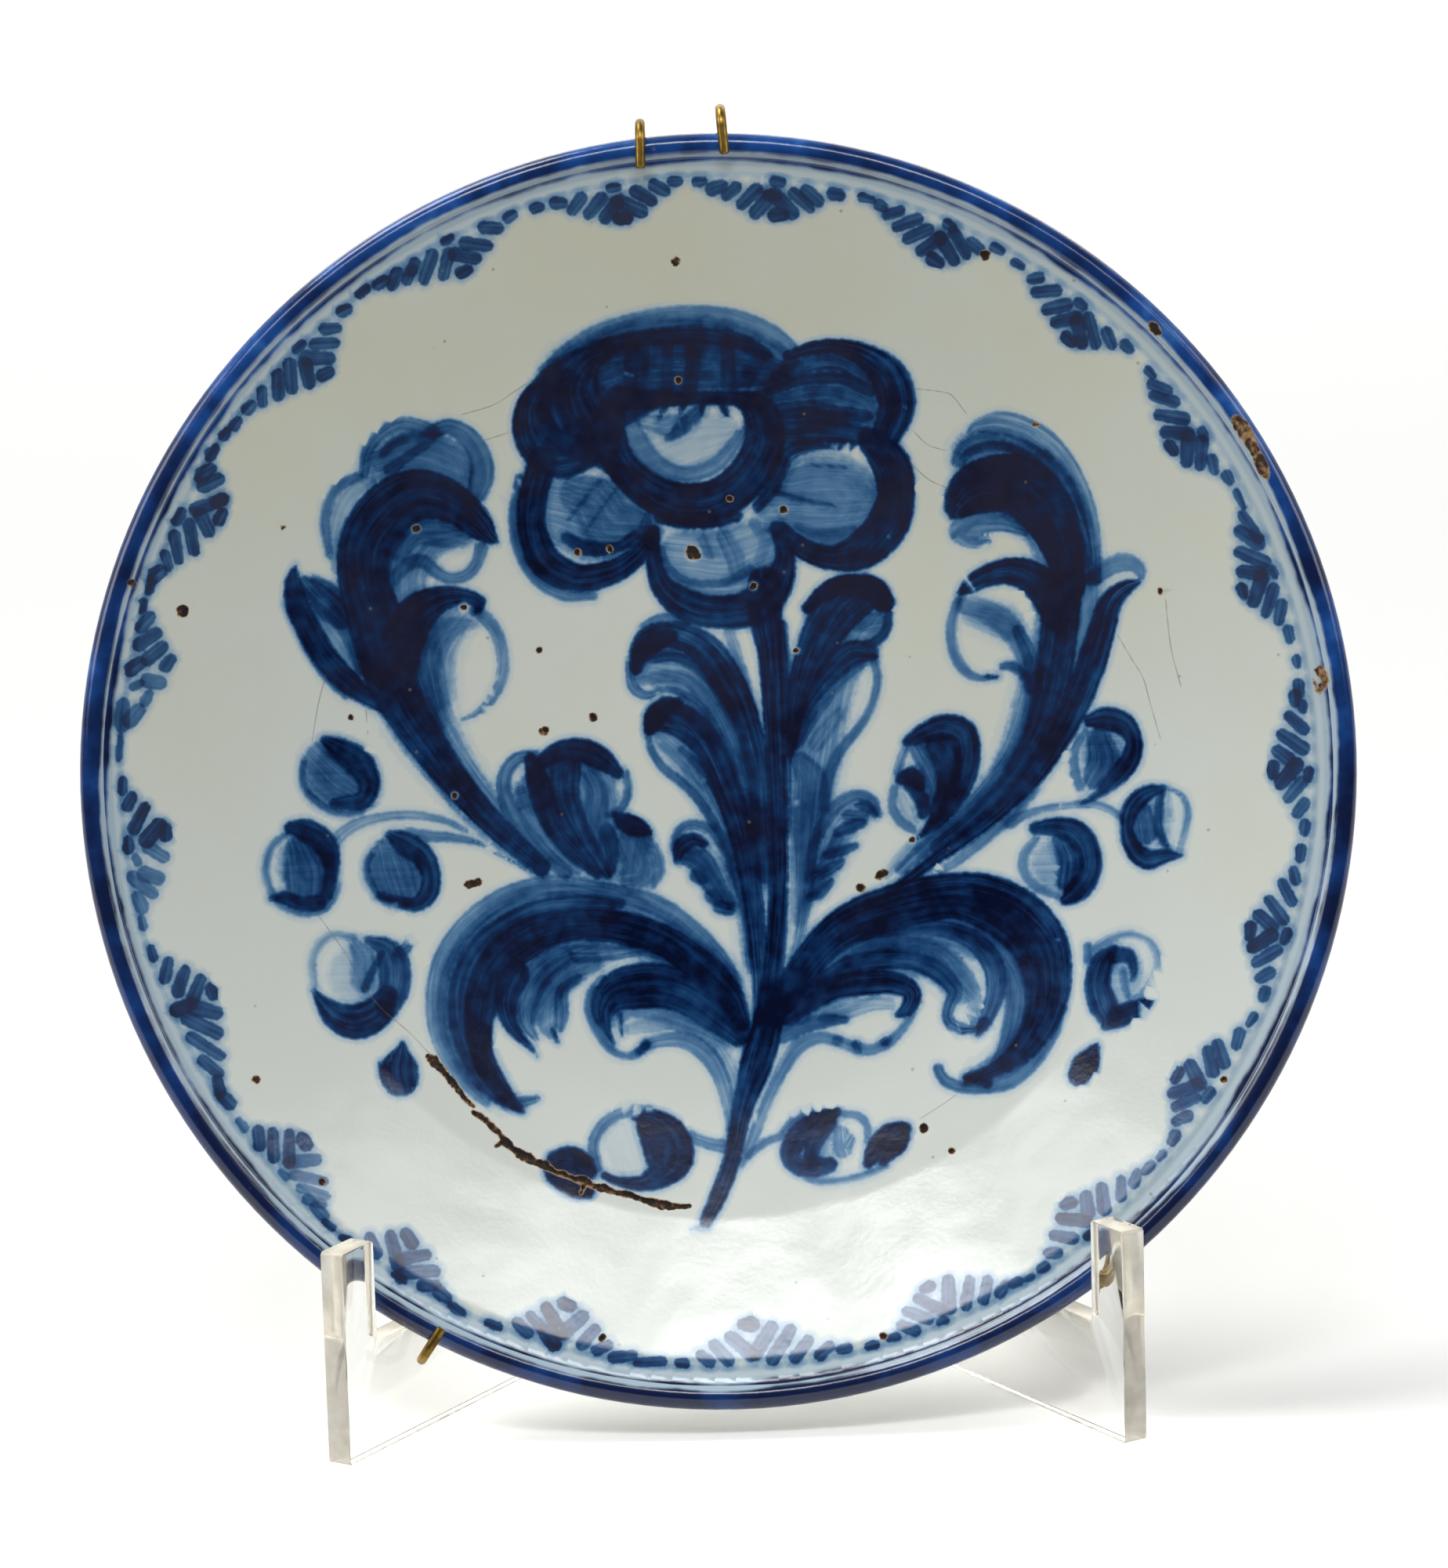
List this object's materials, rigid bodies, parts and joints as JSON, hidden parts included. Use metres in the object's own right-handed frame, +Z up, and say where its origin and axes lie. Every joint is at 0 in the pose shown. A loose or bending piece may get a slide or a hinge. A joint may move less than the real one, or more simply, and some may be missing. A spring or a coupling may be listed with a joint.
{
  "type": "display plate with wire hanger and panel stand",
  "caption": "Round painted earthenware plate held by a sprung wire hanger and leaning in a stand of crossed clear panels.",
  "frame": {"origin": "on the table, under the middle of the whole object's box", "axes": "+Z up, -Y towards the viewer of the painted face, +X to that viewer's right"},
  "size_m": [0.295, 0.1778, 0.2991],
  "materials": {
    "tin_glaze": "gloss",
    "brass_wire": "satin",
    "spring_steel": "satin",
    "clear_acrylic": "clear"
  },
  "bodies": {
    "stand_left": {"stand_panel_left": "clear_acrylic"},
    "stand_right": {"stand_panel_right": "clear_acrylic"},
    "plate": {"plate": "tin_glaze", "hanger_upper_wire": "brass_wire", "hanger_spring_left": "spring_steel", "hanger_spring_right": "spring_steel"},
    "hanger_lower": {"hanger_lower_wire": "brass_wire"}
  },
  "joints": [
    {"name": "panel_unlock", "type": "slide", "parent": "stand_left", "child": "stand_right", "axis": [0, 0, 1], "range_m": [0, 0.045]},
    {"name": "plate_lift", "type": "slide", "parent": "stand_right", "child": "plate", "axis": [0, 0, 1], "range_m": [0, 0.13]},
    {"name": "hanger_stretch", "type": "slide", "parent": "plate", "child": "hanger_lower", "axis": [0.0715, -0.2413, -0.9678], "range_m": [0, 0.006], "stiffness_N_per_m": 700, "springref_m": -0.012, "deforming": ["hanger_spring_left", "hanger_spring_right"]}
  ]
}
